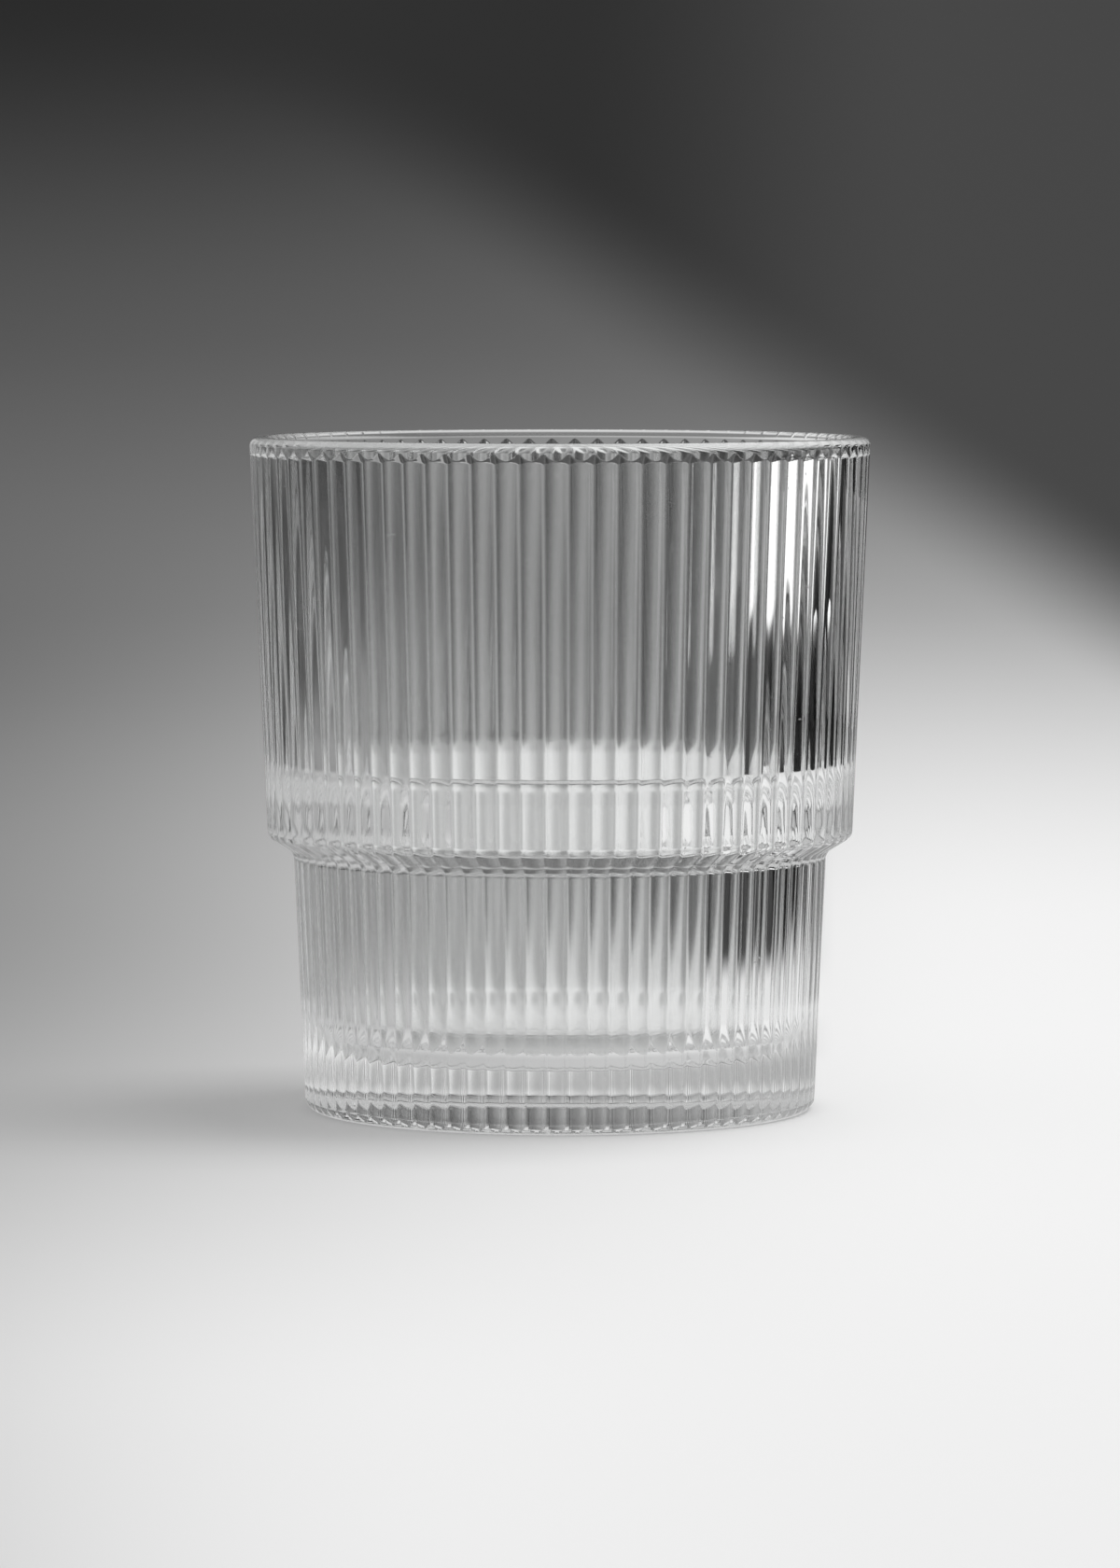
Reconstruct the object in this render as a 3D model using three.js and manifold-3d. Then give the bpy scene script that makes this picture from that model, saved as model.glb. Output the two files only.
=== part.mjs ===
// A stackable rocks glass in clear pressed glass, in millimetres, +Z up.
// The origin is the centre of the ring that it stands on.
// It is one piece of glass: reeded outside, smooth inside, with a step on which one glass nests in another.

import * as THREE from "three";
import { mergeVertices } from "three/addons/utils/BufferGeometryUtils.js";
import Module from "manifold-3d";

// The outside, measured over the crests of the reeds
const HEIGHT = 89;
const RIM_RADIUS = 41;
const UPPER_TAPER = 2.3; // how far the upper wall draws in, from the lip down to the step
const STEP_HEIGHT = 36.3; // level of the step's outer corner
const STEP_WIDTH = 3.45; // how far the step stands out from the neck under it
const STEP_DROP = 2.15; // how far the step's sloping underside falls
const LOWER_TAPER = 1.5; // how far the lower wall draws in, from the neck down to the base
const STEP_ROUND = 1.2;
const NECK_FILLET = 1.8;
const HEEL_ROUND = 1.5;

// The reeds
const REED_COUNT = 80;
const REED_DEPTH = 0.5; // from a crest down to the groove beside it
const REED_RUNOUT = 1.2; // height over which a groove fades out under the lip
const LIP_BAND = 0.4; // plain band between the reeds and the rounded lip

// The wall and the inside
const RIM_WALL = 2.8;
const LIP_LAND = 0.4; // flat left on top of the rounded lip
const STEP_WALL = 3.2; // upper wall, where it meets the ledge inside
const NECK_WALL = 4; // lower wall, just under the ledge
const HEEL_WALL = 3.6; // lower wall, at the floor
const LEDGE_RISE = 0.5; // level of the sloping ledge's foot inside, above the step's outer corner
const LEDGE_FALL = 8.5; // how far the ledge slopes down to its foot
const LEDGE_FILLET = 6;
const LEDGE_ROUND = 2;
const FLOOR_THICKNESS = 8;
const FLOOR_FILLET = 5.5;

// The underside
const BEARING_WIDTH = 3.5; // flat ring that meets the table
const RECESS_DEPTH = 1.2;

// How finely the round surfaces are cut into flat faces
const FACES_PER_REED = 3;
const INSIDE_FACES = 96;
const ARC_CHORD = 1.4; // longest flat along a fillet of the outline
const RECESS_CHORD = 6; // longest flat along the recess's shallow dome
const CUT_OVERRUN = 2; // how far a cutter runs past the face that it opens
const SAME_POINT = 1e-3;
const FILLET_SHARE = 0.49; // most of a straight side that one fillet may take

const stepRadius = RIM_RADIUS - UPPER_TAPER;
const neckRadius = stepRadius - STEP_WIDTH;
const baseRadius = neckRadius - LOWER_TAPER;
const lipRound = (RIM_WALL - LIP_LAND) / 2;
const reedTop = HEIGHT - lipRound - LIP_BAND;
const ledgeHeight = STEP_HEIGHT + LEDGE_RISE;
const recessRadius = baseRadius - HEEL_ROUND - BEARING_WIDTH;

const wasm = await Module();
wasm.setup();

// Runs the outline straight towards a corner and round it, to head for the point after it.
function roundCorner(path, corner, next, radius) {
  const back = path.currentPoint.clone().sub(corner);
  const ahead = next.clone().sub(corner);
  const half = back.angleTo(ahead) / 2;
  const room = FILLET_SHARE * Math.min(back.length(), ahead.length());
  const reach = Math.min(radius / Math.tan(half), room);
  const clockwise = back.cross(ahead) > 0;
  back.setLength(reach);
  ahead.setLength(reach);
  const middle = back.clone().add(ahead);
  const centre = middle.setLength(reach / Math.cos(half)).add(corner);
  const start = back.add(corner);
  const end = ahead.add(corner);
  path.lineTo(start.x, start.y);
  const from = start.clone().sub(centre).angle();
  const to = end.clone().sub(centre).angle();
  path.absarc(centre.x, centre.y, start.distanceTo(centre), from, to, clockwise);
}

// The points of an outline: the ends of its straight sides, and short chords along its arcs.
function outlinePoints(path, chord = ARC_CHORD) {
  const points = [path.curves[0].getPoint(0)];
  for (const curve of path.curves) {
    const flats = curve.isLineCurve ? 1 : Math.max(2, Math.ceil(curve.getLength() / chord));
    for (const point of curve.getPoints(flats)) {
      if (point.distanceTo(points[points.length - 1]) > SAME_POINT) {
        points.push(point);
      }
    }
  }
  return points;
}

// Adds a point where the outline first rises past a level.
function withLevel(points, level) {
  const above = points.findIndex((point, i) => i > 0 && point.y > level && points[i - 1].y <= level);
  const low = points[above - 1];
  const high = points[above];
  const share = (level - low.y) / (high.y - low.y);
  points.splice(above, 0, low.clone().lerp(high, share));
  return points;
}

// A closed solid from a geometry, with its doubled vertices joined and its empty faces left out.
function solidOf(geometry) {
  geometry.deleteAttribute("normal");
  geometry.deleteAttribute("uv");
  const joined = mergeVertices(geometry);
  const corners = joined.index.array;
  const faces = [];
  for (let i = 0; i < corners.length; i += 3) {
    const [a, b, c] = corners.subarray(i, i + 3);
    if (a !== b && b !== c && c !== a) {
      faces.push(a, b, c);
    }
  }
  const vertProperties = joined.attributes.position.array;
  return new wasm.Manifold(new wasm.Mesh({ numProp: 3, vertProperties, triVerts: new Uint32Array(faces) }));
}

function geometryOf(solid) {
  const mesh = solid.getMesh();
  const geometry = new THREE.BufferGeometry();
  geometry.setAttribute("position", new THREE.BufferAttribute(mesh.vertProperties, 3));
  geometry.setIndex(new THREE.BufferAttribute(mesh.triVerts, 1));
  geometry.computeVertexNormals();
  return geometry;
}

// Turns an outline of radius and height about the glass's upright axis.
function turned(points, faces) {
  return new THREE.LatheGeometry(points, faces).rotateX(Math.PI / 2);
}

// The solid block inside the outer skin, filled to the brim.
function outerBlock() {
  const heel = new THREE.Vector2(baseRadius, 0);
  const neck = new THREE.Vector2(neckRadius, STEP_HEIGHT - STEP_DROP);
  const step = new THREE.Vector2(stepRadius, STEP_HEIGHT);
  const lip = new THREE.Vector2(RIM_RADIUS, HEIGHT - lipRound);
  const path = new THREE.Path();
  path.moveTo(0, 0);
  roundCorner(path, heel, neck, HEEL_ROUND);
  roundCorner(path, neck, step, NECK_FILLET);
  roundCorner(path, step, lip, STEP_ROUND);
  path.lineTo(lip.x, lip.y);
  path.absarc(lip.x - lipRound, lip.y, lipRound, 0, Math.PI / 2, false);
  path.lineTo(0, HEIGHT);
  const points = withLevel(withLevel(outlinePoints(path), reedTop - REED_RUNOUT), reedTop);
  return turned(points, REED_COUNT * FACES_PER_REED);
}

// Presses the grooves into the outer skin: each reed between two grooves is a low round arch.
function pressReeds(geometry) {
  const place = geometry.attributes.position;
  for (let i = 0; i < place.count; i++) {
    const x = place.getX(i);
    const y = place.getY(i);
    const level = place.getZ(i);
    const turn = (Math.atan2(x, -y) / (2 * Math.PI)) * REED_COUNT;
    const fromCrest = 1 - 2 * Math.abs(turn - Math.round(turn));
    const atHeel = THREE.MathUtils.smoothstep(level, 0, HEEL_ROUND);
    const atLip = 1 - THREE.MathUtils.smoothstep(level, reedTop - REED_RUNOUT, reedTop);
    const radius = Math.hypot(x, y);
    const sunk = REED_DEPTH * fromCrest ** 2 * atHeel * atLip;
    const kept = radius > sunk ? 1 - sunk / radius : 1;
    place.setXY(i, x * kept, y * kept);
  }
  return geometry;
}

// The hollow for the drink, with its ledge, from the floor up through the brim.
function hollow() {
  const floorEdge = new THREE.Vector2(baseRadius - HEEL_WALL, FLOOR_THICKNESS);
  const ledgeEdge = new THREE.Vector2(neckRadius - NECK_WALL, ledgeHeight);
  const ledgeCorner = new THREE.Vector2(stepRadius - STEP_WALL, ledgeHeight + LEDGE_FALL);
  const lip = new THREE.Vector2(RIM_RADIUS - RIM_WALL, HEIGHT - lipRound);
  const path = new THREE.Path();
  path.moveTo(0, FLOOR_THICKNESS);
  roundCorner(path, floorEdge, ledgeEdge, FLOOR_FILLET);
  roundCorner(path, ledgeEdge, ledgeCorner, LEDGE_ROUND);
  roundCorner(path, ledgeCorner, lip, LEDGE_FILLET);
  path.lineTo(lip.x, lip.y);
  path.absarc(lip.x + lipRound, lip.y, lipRound, Math.PI, Math.PI / 2, true);
  path.lineTo(lip.x + lipRound, HEIGHT + CUT_OVERRUN);
  path.lineTo(0, HEIGHT + CUT_OVERRUN);
  return turned(outlinePoints(path), INSIDE_FACES);
}

// The shallow domed recess under the base, inside the bearing ring.
function baseRecess() {
  const path = new THREE.Path();
  path.moveTo(0, -CUT_OVERRUN);
  path.lineTo(recessRadius, -CUT_OVERRUN);
  path.lineTo(recessRadius, 0);
  path.absellipse(0, 0, recessRadius, RECESS_DEPTH, 0, Math.PI / 2, false);
  return turned(outlinePoints(path, RECESS_CHORD), INSIDE_FACES);
}

const clearGlass = new THREE.MeshStandardMaterial({
  color: 0xf1f4f4,
  roughness: 0.04,
  metalness: 0,
  transparent: true,
  opacity: 0.35,
});

const body = solidOf(pressReeds(outerBlock())).subtract(solidOf(hollow())).subtract(solidOf(baseRecess()));
const tumbler = new THREE.Mesh(geometryOf(body), clearGlass);
tumbler.name = "tumbler";

const rocksGlass = new THREE.Group();
rocksGlass.name = "rocks_glass";
rocksGlass.add(tumbler);

export default rocksGlass;
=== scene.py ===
import math

import bpy
import numpy as np
from mathutils import Matrix, Vector


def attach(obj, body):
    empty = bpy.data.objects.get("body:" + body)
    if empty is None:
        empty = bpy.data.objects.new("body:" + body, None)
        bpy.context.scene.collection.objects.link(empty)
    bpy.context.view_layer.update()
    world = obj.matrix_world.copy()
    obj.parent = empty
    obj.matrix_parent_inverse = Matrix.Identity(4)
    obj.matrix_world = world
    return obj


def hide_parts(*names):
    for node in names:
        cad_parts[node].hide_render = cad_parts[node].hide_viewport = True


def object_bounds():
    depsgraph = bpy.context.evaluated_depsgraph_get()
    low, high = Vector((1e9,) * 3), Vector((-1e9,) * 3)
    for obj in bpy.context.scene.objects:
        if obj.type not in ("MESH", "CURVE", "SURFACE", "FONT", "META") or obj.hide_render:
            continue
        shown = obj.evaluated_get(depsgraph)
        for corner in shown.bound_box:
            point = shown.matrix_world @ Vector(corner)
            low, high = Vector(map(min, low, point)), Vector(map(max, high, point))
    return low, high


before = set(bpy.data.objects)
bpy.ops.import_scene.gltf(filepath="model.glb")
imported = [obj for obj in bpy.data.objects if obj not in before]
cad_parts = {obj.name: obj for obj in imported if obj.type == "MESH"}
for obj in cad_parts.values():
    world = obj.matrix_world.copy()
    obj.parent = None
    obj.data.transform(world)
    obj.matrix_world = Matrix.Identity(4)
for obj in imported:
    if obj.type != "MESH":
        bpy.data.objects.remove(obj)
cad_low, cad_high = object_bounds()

# The tumbler is the whole glass: one gob of clear soda-lime glass, pressed between a reeded mould
# and a smooth plunger. Its lip is rounded in the flame, its reeds run down over the step to the heel,
# and it stands on a flat ring round a shallow recess.
mm = 0.001

# Outside, near the crests of the reeds
height = cad_high.z
rim_radius = cad_high.x
upper_taper = 2.3 * mm
step_height = 36.3 * mm
step_width = 3.45 * mm
step_drop = 2.15 * mm
step_round = 1.2 * mm
neck_fillet = 1.8 * mm
lower_taper = 1.5 * mm
heel_round = 1.7 * mm
step_radius = rim_radius - upper_taper
neck_radius = step_radius - step_width
base_radius = neck_radius - lower_taper

# Lip, wall, inside and underside
rim_wall = 2.8 * mm
lip_round = 1.2 * mm
step_wall = 3.2 * mm
neck_wall = 4.0 * mm
heel_wall = 3.6 * mm
ledge_rise = 0.5 * mm
ledge_fall = 8.5 * mm
ledge_fillet = 6.0 * mm
ledge_round = 2.0 * mm
floor_thickness = 7.9 * mm
floor_fillet = 5.75 * mm
floor_hub = 3.0 * mm
bearing_width = 4.7 * mm
recess_depth = 1.0 * mm
ledge_height = step_height + ledge_rise
recess_radius = base_radius - heel_round - bearing_width

# Reeds, and where their grooves run out under the lip and at the heel
reed_count = 80
reed_depth = 0.65 * mm
crest_drop = 0.03 * mm
groove_share = 0.2
crest_power = 2
runout_level = height - 2.3 * mm
runout_above = 0.85 * mm
runout_below = 0.3 * mm
runout_margin = 0.15 * mm
heel_runout = 0.7 * mm
heel_end = 0.4 * mm
heel_margin = 0.6 * mm
facet_edge = 0.03 * mm
columns_per_reed = 16
plain_every = 4


class Outline:
    """Points of a profile in radius and height, each with the way it heads there."""

    def __init__(self, radius, level):
        self.places = [Vector((radius, level))]
        self.headings = [Vector((1, 0))]

    def straight(self, radius, level, rings):
        start = self.places[-1]
        end = Vector((radius, level))
        heading = (end - start).normalized()
        for i in range(1, rings + 1):
            self.places.append(start.lerp(end, i / rings))
            self.headings.append(heading)

    def corner(self, at, after, radius, arc_rings, rings=1):
        """Runs straight towards a corner, then round it to head for the point after it."""
        corner = Vector(at)
        back = (self.places[-1] - corner).normalized()
        ahead = (Vector(after) - corner).normalized()
        half = back.angle(ahead) / 2
        reach = radius / math.tan(half)
        self.straight(*(corner + back * reach), rings)
        centre = corner + (back + ahead).normalized() * (radius / math.sin(half))
        spoke = self.places[-1] - centre
        turn = math.copysign(math.pi - 2 * half, back.x * ahead.y - back.y * ahead.x)
        for i in range(1, arc_rings + 1):
            swing = Matrix.Rotation(-turn * i / arc_rings, 2)
            self.places.append(centre + swing @ spoke)
            self.headings.append(swing @ -back)

    def dome(self, radius, rise, rings):
        """Runs in and up along a quarter of an ellipse, and stops one ring short of its middle."""
        for i in range(1, rings):
            swing = math.pi / 2 * i / rings
            self.places.append(Vector((radius * math.cos(swing), rise * math.sin(swing))))
            heading = Vector((-radius * math.sin(swing), rise * math.cos(swing)))
            self.headings.append(heading.normalized())

    def drop_first(self):
        """Leaves out the starting point, where another skin ends."""
        self.places.pop(0)
        self.headings.pop(0)


def reed_shape(place):
    """Depth of the skin across a reed, from 0 on its crest to 1 in the round bottom of the groove."""
    out = np.abs(place)
    arch_end = 1 - groove_share
    steepness = crest_power * arch_end ** (crest_power - 1)
    scale = 1 / (arch_end**crest_power + steepness * groove_share / 2)
    past = out - arch_end
    arch = out**crest_power
    groove = arch_end**crest_power + steepness * (past - past**2 / (2 * groove_share))
    return scale * np.where(out < arch_end, arch, groove)


def soft_least(a, b, width):
    """The lesser of two heights, with the edge between them rounded over a width."""
    blend = np.clip(0.5 + 0.5 * (b - a) / width, 0, 1)
    return b + (a - b) * blend - width * blend * (1 - blend)


def sunk(place, level):
    """How deep the skin lies, with each groove run out in a short facet under the lip and at the heel."""
    depth = crest_drop + reed_depth * reed_shape(place)
    slope = (runout_above * depth + reed_depth * (runout_level - level)) / (runout_above + runout_below)
    heel_slope = reed_depth * (level - heel_end) / heel_runout
    facet = soft_least(slope, heel_slope, facet_edge)
    facet = -soft_least(-facet, np.zeros_like(facet), facet_edge)
    return soft_least(depth, facet, facet_edge)


def skin_rings(outline, turns, reed_places=None):
    """Points and normals of the turned outline, with the reeds pressed in where reed_places are given."""
    radius = np.array([p.x for p in outline.places])[:, None]
    level = np.array([p.y for p in outline.places])[:, None]
    run = np.array([h.x for h in outline.headings])[:, None]
    rise = np.array([h.y for h in outline.headings])[:, None]
    out = np.repeat(radius, len(turns), 1)
    along = np.repeat(run, len(turns), 1)
    across = np.zeros_like(out)
    if reed_places is not None:
        nudge = 0.01 * mm
        sway = 0.005
        turn_per_place = math.pi / reed_count
        out = out - sunk(reed_places, level)
        climb = sunk(reed_places, level + nudge) - sunk(reed_places, level - nudge)
        along = along - rise * climb / (2 * nudge)
        across = sunk(reed_places - sway, level) - sunk(reed_places + sway, level)
        across = across / (2 * sway * turn_per_place)
    sine, cosine = np.sin(turns), np.cos(turns)
    points = np.stack([out * sine, -out * cosine, np.broadcast_to(level, out.shape)], -1)
    outward, around, upward = out * rise, -across * rise, -out * along
    normals = np.stack([outward * sine + around * cosine, -outward * cosine + around * sine, upward], -1)
    return points, normals / np.linalg.norm(normals, axis=-1, keepdims=True)


halves = columns_per_reed // 2
reed_steps = np.arange(-halves, halves) / halves
reed_places = np.tile(reed_steps, reed_count)
reed_numbers = np.repeat(np.arange(reed_count), columns_per_reed)
turns = (reed_numbers + 0.5 + reed_places / 2) * 2 * math.pi / reed_count

neck = (neck_radius, step_height - step_drop)
step = (step_radius, step_height)
lip_out = (rim_radius, height)
lip_in = (rim_radius - rim_wall, height)
ledge_corner = (step_radius - step_wall, ledge_height + ledge_fall)
ledge_edge = (neck_radius - neck_wall, ledge_height)
floor_edge = (base_radius - heel_wall, floor_thickness)


def wall_radius(level):
    """Radius of the upper wall outside, before the reeds are pressed in."""
    return step_radius + (rim_radius - step_radius) * (level - step_height) / (height - step_height)


# The mould's skin climbs from the heel over the neck and the step to the end of the reeds.
reeded = Outline(recess_radius, 0)
reeded.corner((base_radius, 0), neck, heel_round, arc_rings=8)
reeded.drop_first()
heel_top = heel_round + heel_margin
heel_share = heel_top / neck[1]
reeded.straight(base_radius + (neck_radius - base_radius) * heel_share, heel_top, rings=3)
reeded.corner(neck, step, neck_fillet, arc_rings=8, rings=3)
reeded.corner(step, lip_out, step_round, arc_rings=8, rings=2)
runout_start = runout_level - runout_below - runout_margin
runout_end = runout_level + runout_above + runout_margin
reeded.straight(wall_radius(runout_start), runout_start, rings=3)
reeded.straight(wall_radius(runout_end), runout_end, rings=16)

# The plain skin goes on over the lip and down the plunger's side, past the ledge, to the floor.
plain = Outline(wall_radius(runout_end), runout_end)
plain.corner(lip_out, lip_in, lip_round, arc_rings=12)
plain.corner(lip_in, ledge_corner, lip_round, arc_rings=12)
plain.corner(ledge_corner, ledge_edge, ledge_fillet, arc_rings=14, rings=4)
plain.corner(ledge_edge, floor_edge, ledge_round, arc_rings=10, rings=2)
plain.corner(floor_edge, (0, floor_thickness), floor_fillet, arc_rings=14, rings=4)
plain.straight(floor_hub, floor_thickness, rings=6)
plain.drop_first()

# The underside is the flat bearing ring and the domed recess inside it.
under = Outline(reeded.places[0].x, 0)
under.straight(recess_radius, 0, rings=2)
under.dome(recess_radius, recess_depth, rings=14)
under.drop_first()

plain_turns = turns[::plain_every]
reeded_points, reeded_normals = skin_rings(reeded, turns, reed_places)
plain_points, plain_normals = skin_rings(plain, plain_turns)
under_points, under_normals = skin_rings(under, plain_turns)
middle_points = np.array([[0, 0, floor_thickness], [0, 0, recess_depth]])
middle_normals = np.array([[0, 0, 1], [0, 0, -1]])
points = [reeded_points, plain_points, under_points, middle_points]
normals = [reeded_normals, plain_normals, -under_normals, middle_normals]
points = np.concatenate([part.reshape(-1, 3) for part in points])
normals = np.concatenate([part.reshape(-1, 3) for part in normals])


def ring_ids(skin, first=0):
    """Numbers of a skin's points in the mesh, ring by ring."""
    rings, columns, _ = skin.shape
    return first + np.arange(rings * columns).reshape(rings, columns)


reeded_ids = ring_ids(reeded_points)
plain_ids = ring_ids(plain_points, reeded_ids.size)
under_ids = ring_ids(under_points, reeded_ids.size + plain_ids.size)
floor_centre = reeded_ids.size + plain_ids.size + under_ids.size
recess_centre = floor_centre + 1


def quads(ids):
    """Faces between neighbouring rings, looking out where the rings climb."""
    low, high = ids[:-1], ids[1:]
    faces = np.stack([low, np.roll(low, -1, 1), np.roll(high, -1, 1), high], -1)
    return faces.reshape(-1, 4).tolist()


def seam(fine, coarse):
    """Faces that join a reeded ring to the plain one next to it, which has fewer points."""
    faces = []
    for i in range(len(coarse)):
        first = i * plain_every
        bottom = [int(fine[(first + k) % len(fine)]) for k in range(plain_every + 1)]
        faces.append(bottom + [int(coarse[(i + 1) % len(coarse)]), int(coarse[i])])
    return faces


def cap(ring, centre):
    """Faces from the last ring to the point in the middle."""
    return [[int(a), int(b), centre] for a, b in zip(ring, np.roll(ring, -1))]


def smooth_piece(name, points, faces):
    """An object with a smooth mesh, put into the scene."""
    mesh = bpy.data.meshes.new(name)
    mesh.from_pydata(points.tolist(), [], faces)
    mesh.polygons.foreach_set("use_smooth", [True] * len(mesh.polygons))
    piece = bpy.data.objects.new(name, mesh)
    bpy.context.collection.objects.link(piece)
    return piece


faces = quads(reeded_ids) + seam(reeded_ids[-1], plain_ids[0]) + quads(plain_ids)
faces += cap(plain_ids[-1], floor_centre)
below = seam(reeded_ids[0], under_ids[0]) + quads(under_ids) + cap(under_ids[-1], recess_centre)
faces += [face[::-1] for face in below]
tumbler = smooth_piece("pressed_glass", points, faces)
tumbler.data.normals_split_custom_set_from_vertices(normals.tolist())


class Wire:
    """A socket in a material. Sums on wires add Math nodes, and node() adds any other node beside them."""

    def __init__(self, socket):
        self.socket = socket

    def node(self, kind, settings=None, sockets=None, out=0):
        tree = self.socket.id_data
        made = tree.nodes.new(kind)
        for name, value in (settings or {}).items():
            setattr(made, name, value)
        for name, value in (sockets or {}).items():
            if isinstance(value, Wire):
                tree.links.new(value.socket, made.inputs[name])
            else:
                made.inputs[name].default_value = value
        return Wire(made.outputs[out])

    def beside(self, out):
        """Another output of the node that this wire comes from."""
        return Wire(self.socket.node.outputs[out])

    def sum(self, operation, first, second):
        return self.node("ShaderNodeMath", {"operation": operation}, {0: first, 1: second})

    def __add__(self, other):
        return self.sum("ADD", self, other)

    def __radd__(self, other):
        return self.sum("ADD", other, self)

    def __sub__(self, other):
        return self.sum("SUBTRACT", self, other)

    def __rsub__(self, other):
        return self.sum("SUBTRACT", other, self)

    def __mul__(self, other):
        return self.sum("MULTIPLY", self, other)

    def __rmul__(self, other):
        return self.sum("MULTIPLY", other, self)

    def __truediv__(self, other):
        return self.sum("DIVIDE", self, other)

    def __rtruediv__(self, other):
        return self.sum("DIVIDE", other, self)

    def most(self, other):
        return self.sum("MAXIMUM", self, other)

    def size(self):
        return self.node("ShaderNodeMath", {"operation": "ABSOLUTE"}, {0: self})

    def ramp(self, low, high):
        """0 below low, 1 above high, with soft ends."""
        limits = {"Value": self, "From Min": low, "From Max": high}
        return self.node("ShaderNodeMapRange", {"interpolation_type": "SMOOTHSTEP"}, limits)

    def stretched(self, scale):
        return self.node("ShaderNodeVectorMath", {"operation": "MULTIPLY"}, {0: self, 1: scale})

    def length(self):
        return self.node("ShaderNodeVectorMath", {"operation": "LENGTH"}, {0: self}, "Value")

    def noise(self, scale, detail):
        return self.node("ShaderNodeTexNoise", {}, {"Vector": self, "Scale": scale, "Detail": detail})


def blank_material(name):
    """An empty material, and a wire with the place of each point on the object."""
    material = bpy.data.materials.new(name)
    material.use_nodes = True
    material.node_tree.nodes.clear()
    return material, Wire(material.node_tree.nodes.new("ShaderNodeTexCoord").outputs["Object"])


def coat(piece, material, shader):
    """Ends a material in its shader, and puts it on a piece."""
    output = material.node_tree.nodes.new("ShaderNodeOutputMaterial")
    material.node_tree.links.new(shader.socket, output.inputs["Surface"])
    piece.data.materials.append(material)


# The skin has faint waves from the mould, upright draw lines, smudges and a few specks.
glass, here = blank_material("clear_pressed_glass")
waves = here.stretched((1, 1, 0.4)).noise(scale=150, detail=2.0)
draws = here.stretched((1, 1, 0.03)).noise(scale=1400, detail=2.0)
smudges = here.noise(scale=45, detail=5.0)
cells = here.node("ShaderNodeTexVoronoi", {}, {"Vector": here, "Scale": 420}, "Distance")
specks = 1 - cells.ramp(0.05, 0.09)
relief = waves * 0.6 + draws * 0.12 + specks * 0.15
bump = here.node("ShaderNodeBump", {}, {"Height": relief, "Strength": 0.03, "Distance": 0.4 * mm})

# The plunger's side is a little duller than the mould's: mid_wall runs inside the wall, between the two.
distance = here.stretched((1, 1, 0)).length()
level = here.node("ShaderNodeSeparateXYZ", {}, {0: here}, 2)
mid_wall = 31.8 * mm + level * 0.04 + level.ramp(36 * mm, 39 * mm) * (3.3 * mm)
plunger_side = (mid_wall - distance).ramp(-0.2 * mm, 0.2 * mm)
roughness = 0.02 + plunger_side * 0.02 + smudges.ramp(0.5, 0.75) * 0.02 + specks * 0.15
clear = {"Base Color": (0.985, 0.99, 0.988, 1), "IOR": 1.52, "Transmission Weight": 1.0}
skin = here.node("ShaderNodeBsdfPrincipled", {}, {**clear, "Roughness": roughness, "Normal": bump})
coat(tumbler, glass, skin)
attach(tumbler, "root")
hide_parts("tumbler")

# The sweep: a sheet of pale paper that lies under the glass and curves up into a wall all round.
# It is painted as a pool of light on the floor, grey to the left, and dark to the right and up the wall.
floor_reach = 2.4
floor_middle = 0.02
floor_gap = 0.02 * mm
wall_curve = 1.0
wall_top = 2.6
sweep_columns = 96
sweep = Outline(floor_middle, -floor_gap)
sweep.corner((floor_reach, -floor_gap), (floor_reach, wall_top), wall_curve, arc_rings=24, rings=12)
sweep.straight(floor_reach, wall_top, rings=6)
sweep_turns = np.arange(sweep_columns) * 2 * math.pi / sweep_columns
sweep_points, _ = skin_rings(sweep, sweep_turns)
sweep_ids = ring_ids(sweep_points)
sweep_faces = quads(sweep_ids) + [sweep_ids[0].tolist()]
paper_sweep = smooth_piece("paper_sweep", sweep_points.reshape(-1, 3), sweep_faces)

# Places on the paper are told by their reach from the glass, and by how far across and upward they lie
# as seen from one fixed spot, a metre in front of the glass and a little to the left.
stand_back = 1.0
stand_left = 0.027
eye_level = 0.113
least_depth = 0.3
paper, place = blank_material("painted_paper")
place_x = place.node("ShaderNodeSeparateXYZ", {}, {0: place})
place_y = place_x.beside(1)
place_z = place_x.beside(2)
reach = place.stretched((1, 1, 0)).length()
outward = place_x / reach
backward = place_y / reach
depth = (place_y + stand_back).most(least_depth)
across = (place_x + stand_left) / depth - stand_left
upward = (place_z - eye_level) / depth

# Behind the glass a painted pool of light falls off with distance and to the left.
pool_tone = 0.88
falling = pool_tone - 0.68 * upward.ramp(-0.089, -0.009) - 0.15 * upward.ramp(-0.02, 0.035)
in_front = (1 - upward.ramp(-0.155, -0.085)) * across.ramp(-0.22, 0)
sideways = 0.3 + 0.7 * across.ramp(-0.1, 0.06)
sideways = sideways + (1 - sideways) * in_front.most(0.5 * upward.ramp(-0.06, -0.015))
behind = falling * sideways

# Round the sides painted light is bright to the right, and runs into painted shade to the left and far in
# front.
right_tone = 0.8
front_tone = 0.24
left_tone = 0.6 - 0.34 * reach.ramp(0.05, 0.26) - 0.21 * reach.ramp(0.36, 0.5) + 0.2 * reach.ramp(0.8, 1.7)
around = left_tone + (right_tone - left_tone) * outward.ramp(-0.5, 0.25)
forward = 1 - place_y.ramp(-0.3, -0.05)
far = reach.ramp(0.5, 1.2)
around = around.most(forward * (1 - far) * right_tone)
around = around + (front_tone - around) * forward * far
seen = 1 - (across + 0.002).size().ramp(0.082, 0.13)
lit = around + (behind - around) * seen
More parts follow.
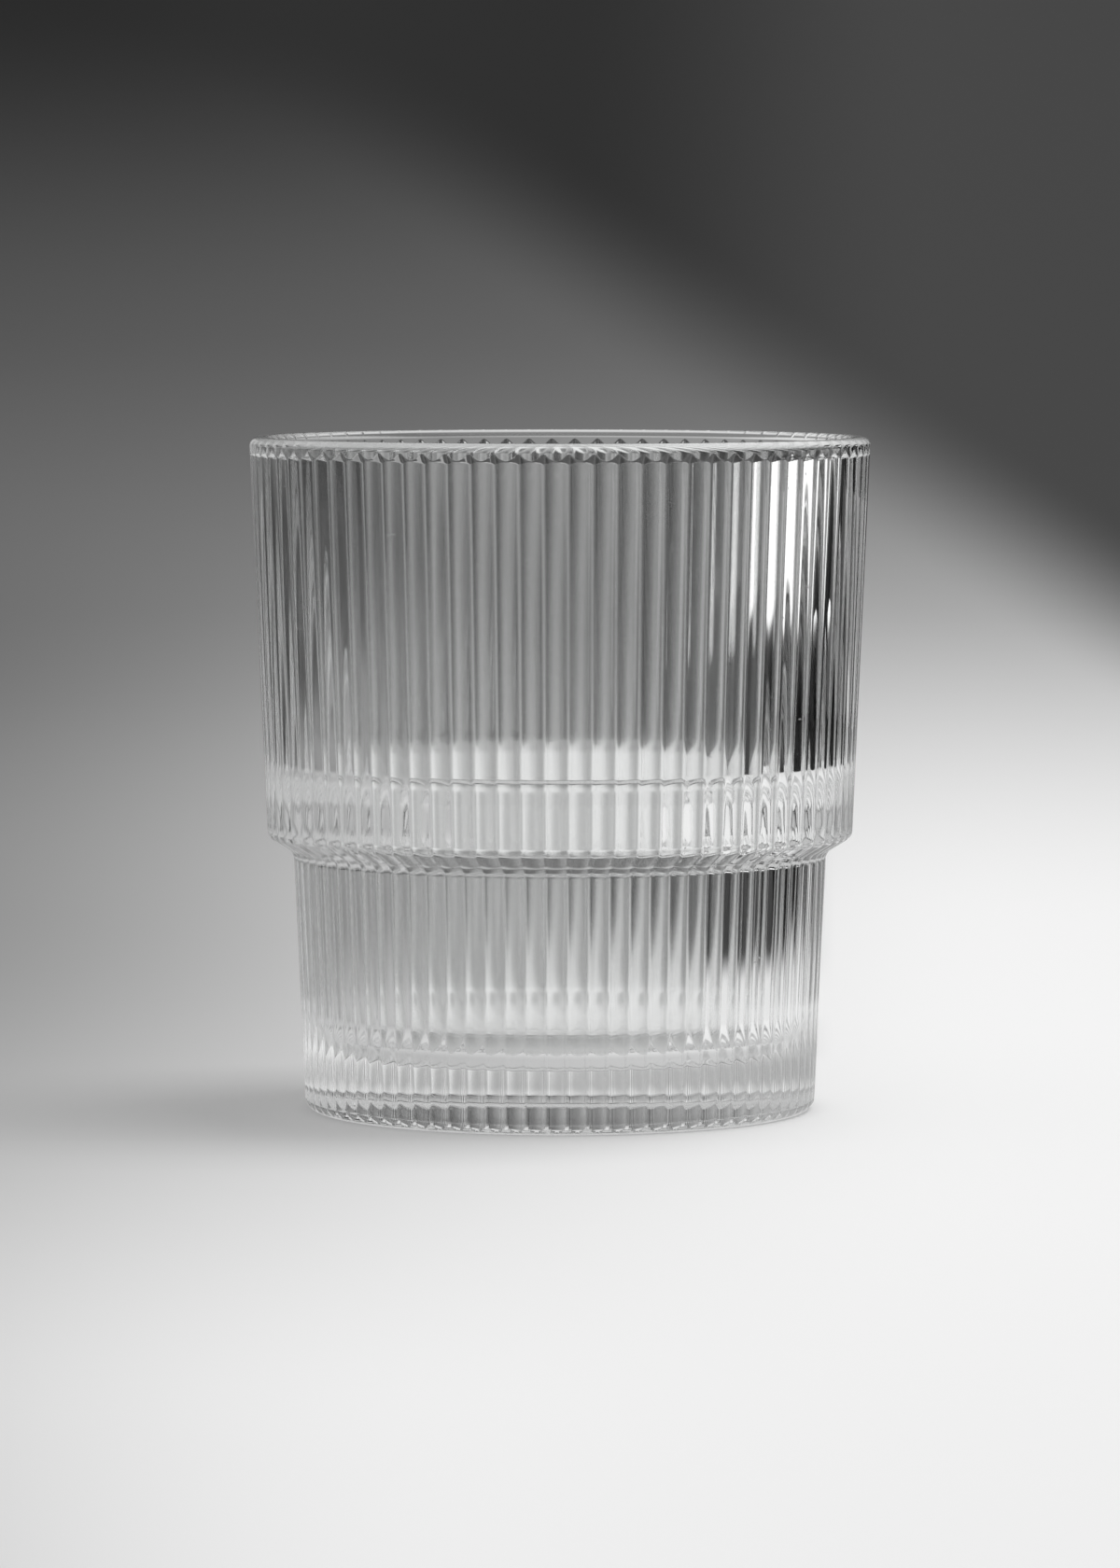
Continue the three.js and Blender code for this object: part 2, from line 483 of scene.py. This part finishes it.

# A soft shadow of the glass is painted behind it, where the glass hides it, with a lighter patch of
# painted light near the base.
hidden = (1 - (across - 0.003).size().ramp(0.022, 0.034)) * (1 - upward.ramp(-0.045, -0.026))
near_shade = 0.38 * place_y.ramp(0.05, 0.075) * (1 - place_y.ramp(0.1, 0.13))
shade = near_shade + 0.74 * place_y.ramp(0.15, 0.23) - 0.42 * place_y.ramp(0.43, 0.6)
lit = lit * (1 - shade * hidden)
# Painted shade darkens the paper to the right, a little way behind the glass.
right_shade = across.ramp(0.073, 0.12) * place_y.ramp(0.08, 0.3) * (1 - place_y.ramp(0.4, 1.0))
lit = lit * (1 - 0.7 * right_shade)

# The painted light ends to the right and up the wall along a soft slanting edge, and there is painted
# shade past it.
past_edge = (across * 0.555 + upward * 0.832).ramp(-0.0086, 0.0123) * place_y.ramp(-0.6, -0.3)
dark_tone = 0.012 + (0.03 + 0.045 * across.ramp(0, 0.05)) * place_y.ramp(0.5, 1.3)
dark_tone = dark_tone * (1 - 0.85 * across.ramp(0.1, 0.22))
tone = lit + (dark_tone - lit) * past_edge

# High on the wall it is an even grey, and under the glass the paper has a little painted shade.
wall_tone = 0.5
tone = tone + (wall_tone - tone) * (place_z - 0.8 * backward.ramp(0, 0.8)).ramp(0.15, 0.9)
tone = tone * (0.7 + 0.3 * reach.ramp(0.028, 0.036))

# The camera sees the paint half as the paper's own light and half lit by the lamps, which keeps the
# shadow of the glass on it. The glass sees the paint alone, glowing as the paper's own light.
ray = place.node("ShaderNodeLightPath", out="Is Camera Ray")
shown = (ray * 0.5).most(ray.beside("Is Glossy Ray")).most(ray.beside("Is Transmission Ray"))
matt = place.node("ShaderNodeBsdfDiffuse", {}, {"Color": tone})
glow = place.node("ShaderNodeEmission", {}, {"Color": tone})
coat(paper_sweep, paper, place.node("ShaderNodeMixShader", {}, {0: shown, 1: matt, 2: glow}))


# The lamps: a long thin soft box stands low to the right and puts white bars in the reeds, a square one
# hangs overhead for the floor, and a pale ceiling fills in from above.
def set_up(thing, stand, aim):
    """Stands a lamp or the camera in the scene, turned to face a point."""
    thing.location = stand
    thing.rotation_mode = "QUATERNION"
    thing.rotation_quaternion = (Vector(aim) - Vector(stand)).to_track_quat("-Z", "Y")
    bpy.context.collection.objects.link(thing)


def soft_box(name, stand, aim, size, brightness):
    """A rectangular lamp that the camera doesn't see."""
    lamp = bpy.data.lights.new(name, "AREA")
    lamp.shape = "RECTANGLE"
    lamp.size, lamp.size_y = size
    lamp.energy = brightness * math.pi * lamp.size * lamp.size_y
    box = bpy.data.objects.new(name, lamp)
    box.visible_camera = False
    set_up(box, stand, aim)
    return box


strip_level = 0.029
strip_back = 0.08
soft_box("side_light", (0.42, strip_back, strip_level), (0, strip_back, strip_level), (0.5, 0.042), 1.2)
top_light = soft_box("top_light", (0.4, 0.1, 1.5), (0, 0, 0), (0.7, 0.7), 11.8)
top_light.visible_glossy = False
top_light.visible_transmission = False
world = bpy.data.worlds.new("pale_ceiling")
world.use_nodes = True
world.node_tree.nodes["Background"].inputs["Color"].default_value = (0.58, 0.58, 0.58, 1)
bpy.context.scene.world = world
most_bounces = 32
bpy.context.scene.cycles.max_bounces = most_bounces
bpy.context.scene.cycles.glossy_bounces = most_bounces
bpy.context.scene.cycles.transmission_bounces = most_bounces

# The camera: a long lens a metre from the glass, a little above its rim and a little to the left.
# It looks down at a point just below the middle of the glass.
photo_long_side = 1680
focal_pixels = 8116
camera_turn = math.radians(-1.55)
aim_level = 0.043
lens = bpy.data.cameras.new("long_lens")
lens.sensor_width = 36
lens.lens = lens.sensor_width * focal_pixels / photo_long_side
camera = bpy.data.objects.new("camera", lens)
camera_x = stand_back * math.sin(camera_turn)
camera_y = -stand_back * math.cos(camera_turn)
set_up(camera, (camera_x, camera_y, eye_level), (0, 0, aim_level))
bpy.context.scene.camera = camera
bpy.context.scene.view_settings.view_transform = "Standard"
